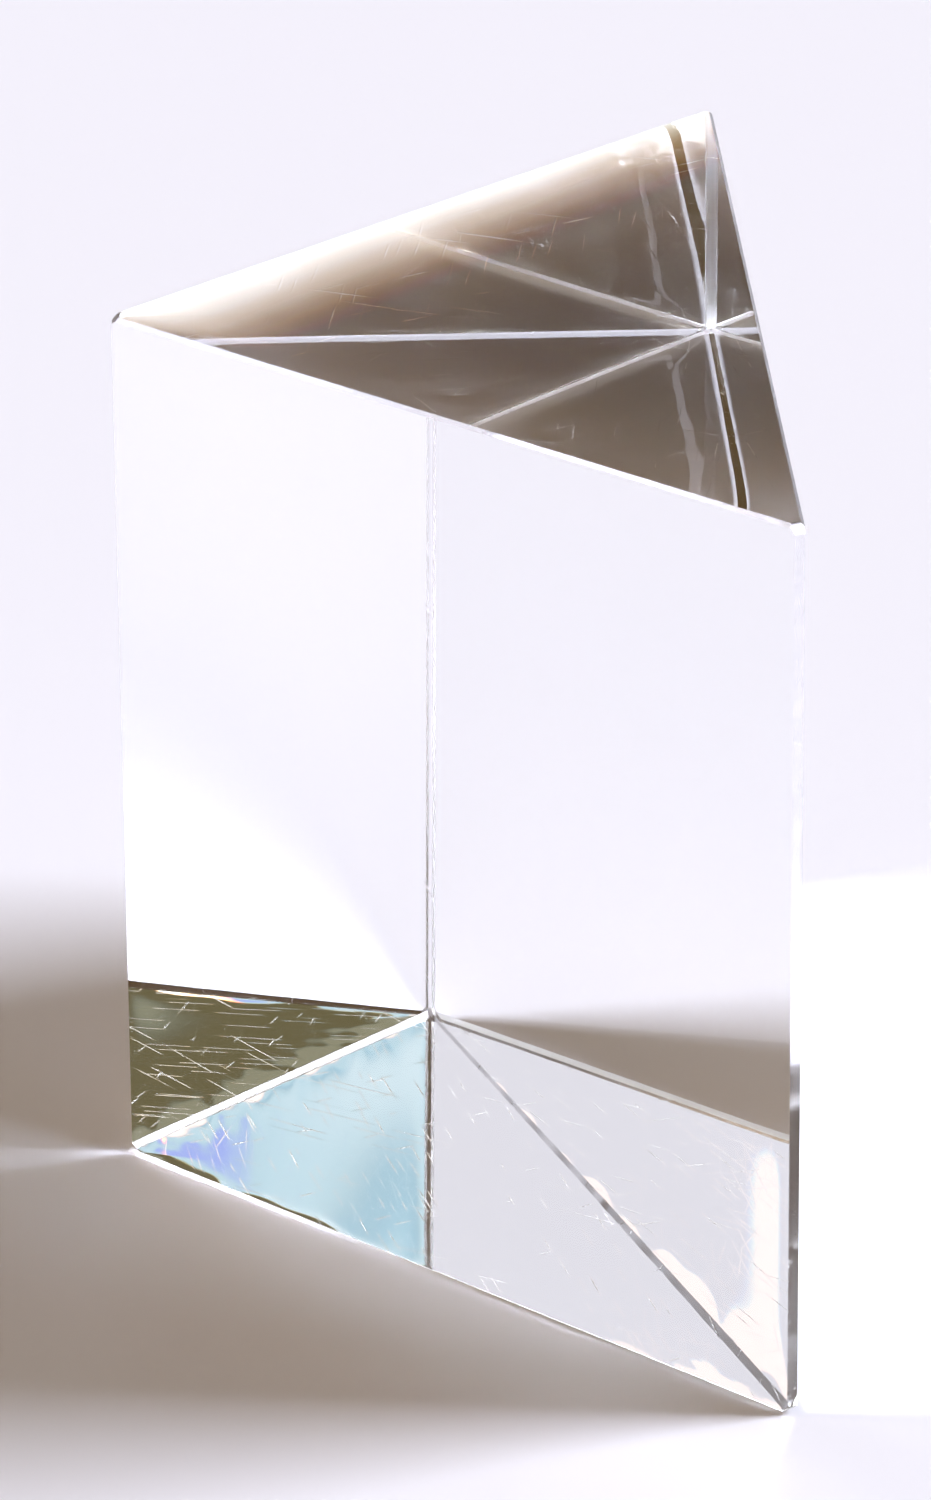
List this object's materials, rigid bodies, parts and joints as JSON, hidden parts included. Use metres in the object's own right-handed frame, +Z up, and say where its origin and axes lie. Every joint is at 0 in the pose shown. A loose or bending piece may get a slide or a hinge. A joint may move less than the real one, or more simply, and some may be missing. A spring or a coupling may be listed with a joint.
{
  "type": "right angle prism",
  "caption": "Solid right angle prism of clear polished glass with an isosceles triangular section and narrow bevelled edges, for turning or reflecting a beam of light.",
  "frame": {"origin": "middle of the base of the box round the glass, on the lower triangular end that it stands on", "axes": "+Z up along the long edges of the prism; -Y and -X are the outward normals of the two leg faces that meet at the right angle; the hypotenuse face looks towards +X and +Y"},
  "size_m": [0.0248, 0.0248, 0.025],
  "materials": {
    "crown_glass": "clear crown glass, polished faces, fine-ground bevels, light handling scratches"
  },
  "bodies": {
    "root": {"glass_prism": "crown_glass"}
  },
  "joints": []
}
